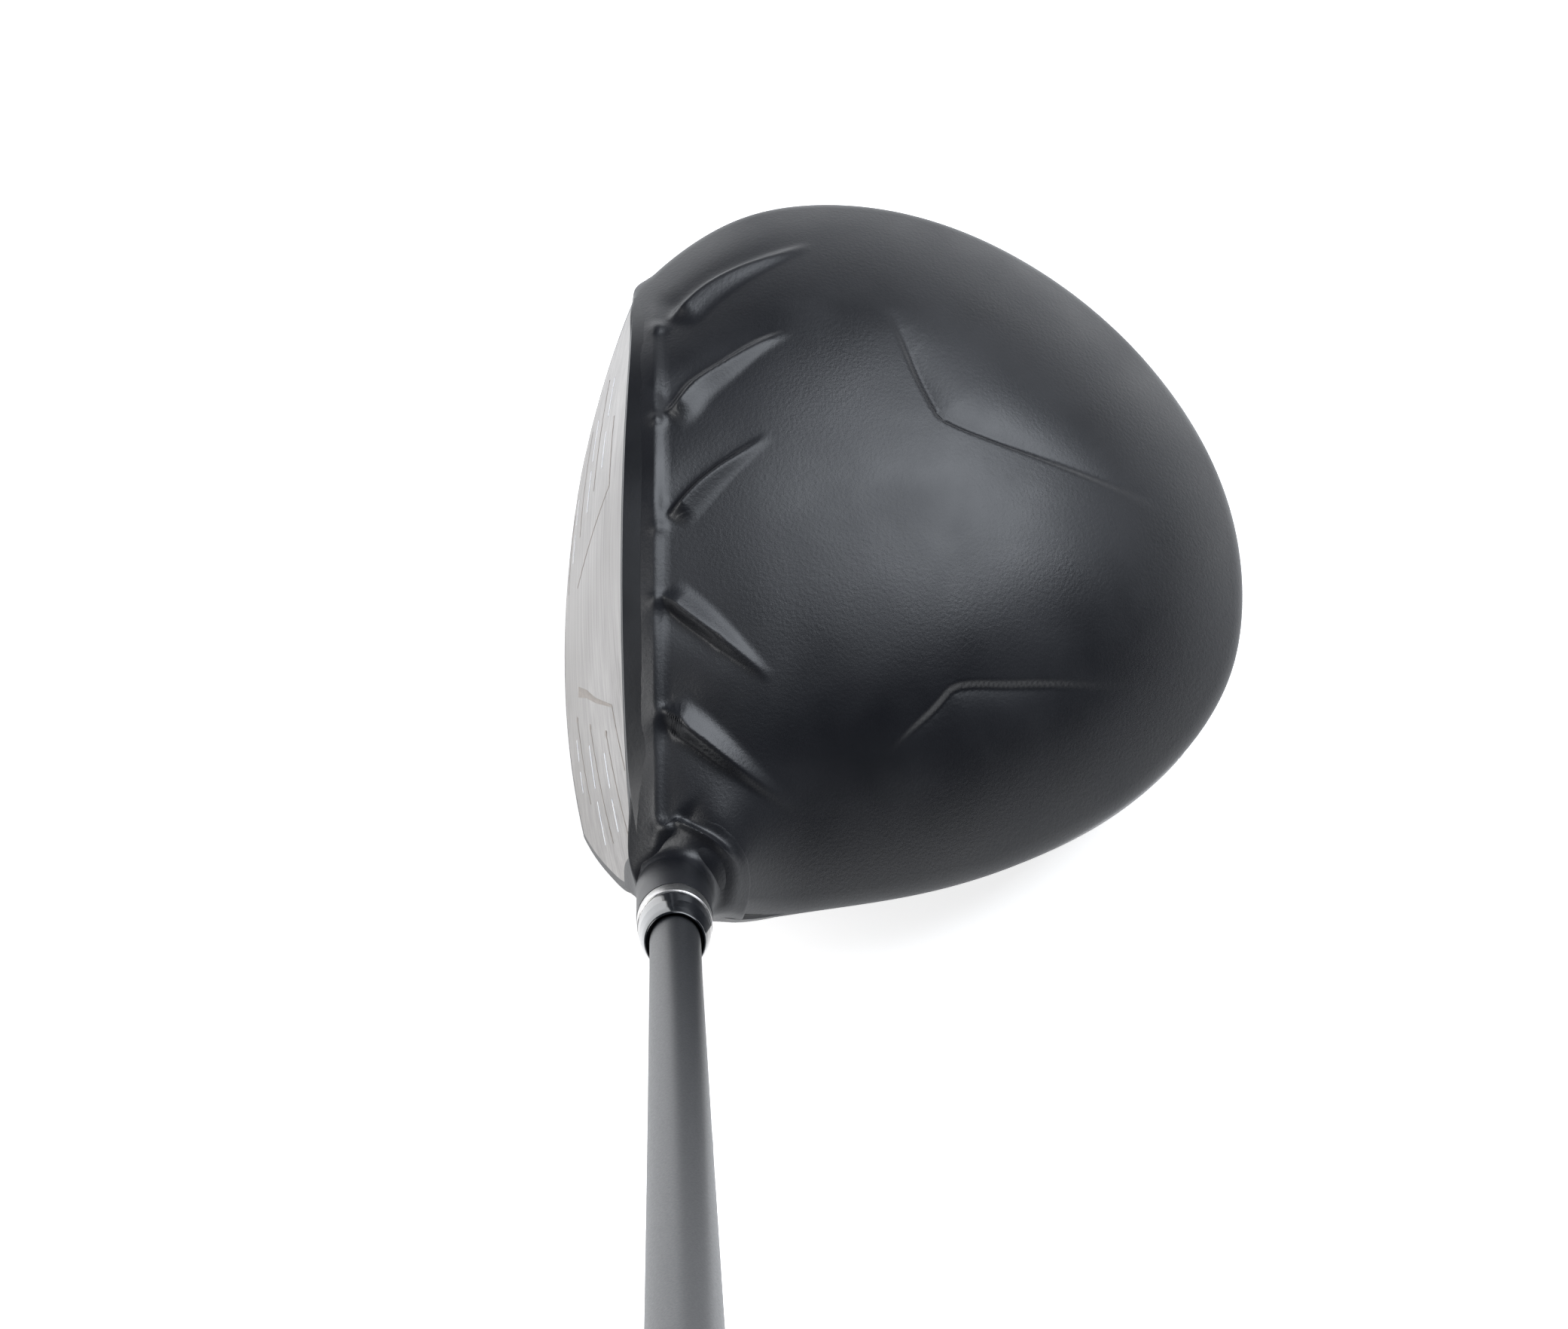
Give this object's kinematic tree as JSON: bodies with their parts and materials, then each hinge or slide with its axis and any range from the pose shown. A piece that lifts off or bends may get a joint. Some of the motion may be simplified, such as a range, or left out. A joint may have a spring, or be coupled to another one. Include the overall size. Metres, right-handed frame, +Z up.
{
  "type": "golf driver",
  "caption": "Right-handed adjustable golf driver: hollow head with ridged crown and brushed face, removable shaft on a keyed hosel ring, sliding rear weight.",
  "frame": {"origin": "middle of the flat rest pad under the sole, where the soled head touches the ground", "axes": "+Z up with the club soled at address, -Y towards the target, +X towards the heel and the player, -X towards the toe; the shaft leans up towards +X at the lie angle of 59.5 degrees"},
  "size_m": [0.7099, 0.122, 1.0109],
  "materials": {
    "satin_black_paint": "fine textured satin black paint over the crown",
    "body_black": "satin black coating on cast titanium",
    "brushed_titanium": "brushed heel to toe",
    "adhesive": "cured structural adhesive",
    "ring_metal": "fine turned and clear anodised",
    "sleeve_metal": "anodised",
    "ferrule_black": "polished black",
    "graphite": "matte dark grey paint over carbon fibre",
    "plug_rubber": "matte",
    "bolt_steel": "blackened steel, machined",
    "tungsten": "dark nickel plated tungsten",
    "nylon": "moulded nylon",
    "tape": "crepe paper tape",
    "grip_rubber": "moulded rubber with a fine non-slip pattern",
    "cap_rubber": "smooth moulded rubber"
  },
  "bodies": {
    "head": {"body": "body_black", "crown": "satin_black_paint", "crown_bond": "adhesive", "face_plate": "brushed_titanium", "bolt_retainer": "plug_rubber"},
    "ring": {"hosel_ring": "ring_metal"},
    "shaft_unit": {"hosel_sleeve": "sleeve_metal", "ferrule": "ferrule_black", "tip_plug": "plug_rubber", "shaft": "graphite", "counterweight": "tungsten", "grip_tape": "tape", "grip": "grip_rubber", "grip_cap": "cap_rubber"},
    "bolt_carrier": {"bolt_washer": "bolt_steel"},
    "bolt": {"hosel_bolt": "bolt_steel"},
    "weight_unit": {"rear_weight": "tungsten", "weight_shoe": "nylon", "weight_clamp": "bolt_steel"},
    "screw_carrier": {"screw_washer": "bolt_steel"},
    "screw": {"weight_screw": "bolt_steel"}
  },
  "joints": [
    {"name": "shaft_lift", "type": "slide", "parent": "head", "child": "ring", "axis": [0.5075, 0, 0.8616], "range_m": [0, 0.042]},
    {"name": "shaft_index", "type": "hinge", "parent": "ring", "child": "shaft_unit", "pos_m": [0.0685, -0.02, 0.064], "axis": [0.5075, 0, 0.8616], "continuous": true},
    {"name": "bolt_travel", "type": "slide", "parent": "head", "child": "bolt_carrier", "axis": [-0.5075, 0, -0.8616], "range_m": [0, 0.0096]},
    {"name": "bolt_turn", "type": "hinge", "parent": "bolt_carrier", "child": "bolt", "pos_m": [0.04008, -0.02, 0.01575], "axis": [-0.5075, 0, -0.8616], "range_deg": [0, 4320]},
    {"name": "weight_slide", "type": "hinge", "parent": "head", "child": "weight_unit", "pos_m": [-0.0035, 0.032, 0.0215], "axis": [0, 0, 1], "range_deg": [0, 58]},
    {"name": "screw_travel", "type": "slide", "parent": "weight_unit", "child": "screw_carrier", "axis": [0.4848, 0.8746, 0], "range_m": [0, 0.0014]},
    {"name": "screw_turn", "type": "hinge", "parent": "screw_carrier", "child": "screw", "pos_m": [0.01832, 0.07136, 0.0215], "axis": [0.4848, 0.8746, 0], "range_deg": [0, 720]}
  ],
  "couplings": [
    {"joint": "bolt_turn", "follows": "bolt_travel", "rad_per_m": 7854},
    {"joint": "screw_turn", "follows": "screw_travel", "rad_per_m": 8976}
  ]
}
